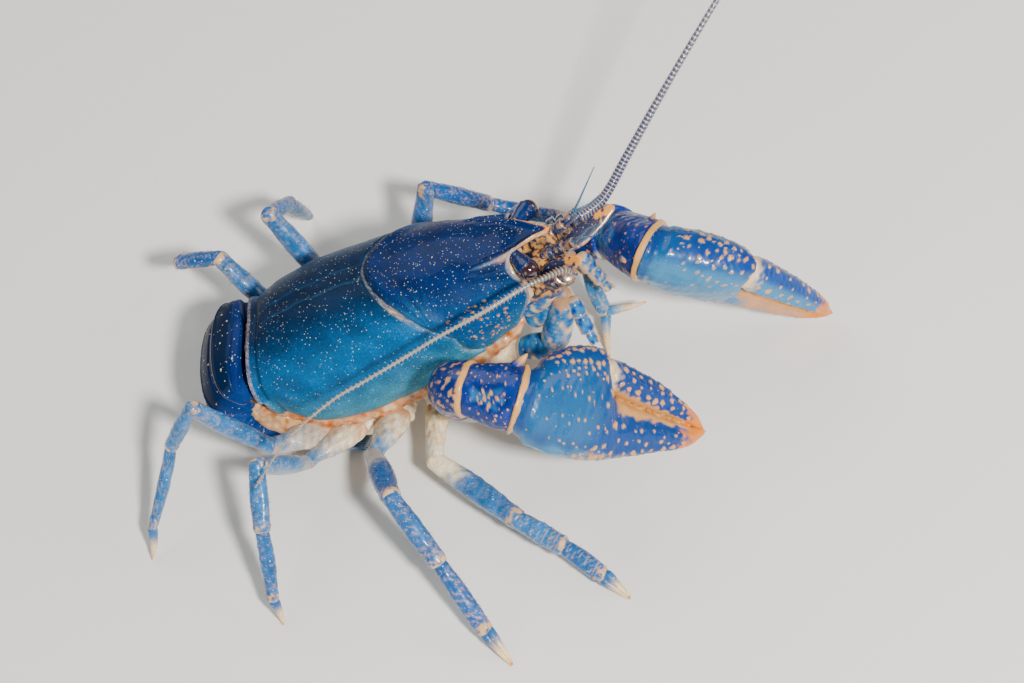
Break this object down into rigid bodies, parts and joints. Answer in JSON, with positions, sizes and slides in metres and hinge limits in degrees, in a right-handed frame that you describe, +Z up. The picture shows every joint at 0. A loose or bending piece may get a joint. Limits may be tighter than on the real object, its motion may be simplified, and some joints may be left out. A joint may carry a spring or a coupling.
{
  "type": "crayfish model",
  "caption": "Still life-size blue burrowing crayfish, claws forward, tail tucked under, standing on its walking legs.",
  "frame": {"origin": "centre of the bounding box at floor level, z = 0, where the walking legs stand", "axes": "+X the way the head faces, +Y the animal's left, +Z up"},
  "size_m": [0.0815, 0.072, 0.0333],
  "materials": {
    "shell": "dark blue glossy shell with fine pale pits and cream margins",
    "abdomen": "navy glossy shell with cream hind edges",
    "claw": "royal blue glossy shell with cream tubercles and orange tips",
    "leg": "medium blue shell with cream joints and tips",
    "underside": "cream underside",
    "antenna": "slate blue ringed with pale speckles",
    "mouth": "pale blue and cream mouth limbs",
    "eye": "very dark maroon, wet gloss"
  },
  "bodies": {
    "root": {"antennule_left": "antenna", "antennule_right": "antenna", "carapace_head": "shell", "carapace_rear": "shell", "claw_arm_left": "claw", "claw_arm_right": "claw", "claw_palm_left": "claw", "claw_palm_right": "claw", "claw_thumb_left": "claw", "claw_thumb_right": "claw", "claw_wrist_left": "claw", "claw_wrist_right": "claw", "eye_left": "eye", "eye_right": "eye", "face": "mouth", "feeler_base_left": "antenna", "feeler_base_right": "antenna", "feeler_left_1": "antenna", "feeler_left_2": "antenna", "feeler_left_3": "antenna", "feeler_right_1": "antenna", "feeler_right_2": "antenna", "feeler_right_3": "antenna", "jaw_leg_left": "mouth", "jaw_leg_right": "mouth", "jaw_palp_left": "mouth", "jaw_palp_right": "mouth", "leg_2_left_lower": "leg", "leg_2_left_upper": "leg", "leg_2_right_lower": "leg", "leg_2_right_upper": "leg", "leg_3_left_lower": "leg", "leg_3_left_upper": "leg", "leg_3_right_lower": "leg", "leg_3_right_upper": "leg", "leg_4_left_lower": "leg", "leg_4_left_upper": "leg", "leg_4_right_lower": "leg", "leg_4_right_upper": "leg", "leg_5_left_lower": "leg", "leg_5_left_upper": "leg", "leg_5_right_lower": "leg", "leg_5_right_upper": "leg", "sternum": "underside", "tail_paddle_left": "abdomen", "tail_paddle_right": "abdomen", "tail_plate": "abdomen", "tail_segment_1": "abdomen", "tail_segment_2": "abdomen", "tail_segment_3": "abdomen", "tail_segment_4": "abdomen", "tail_segment_5": "abdomen", "tail_segment_6": "abdomen"}
  },
  "joints": []
}
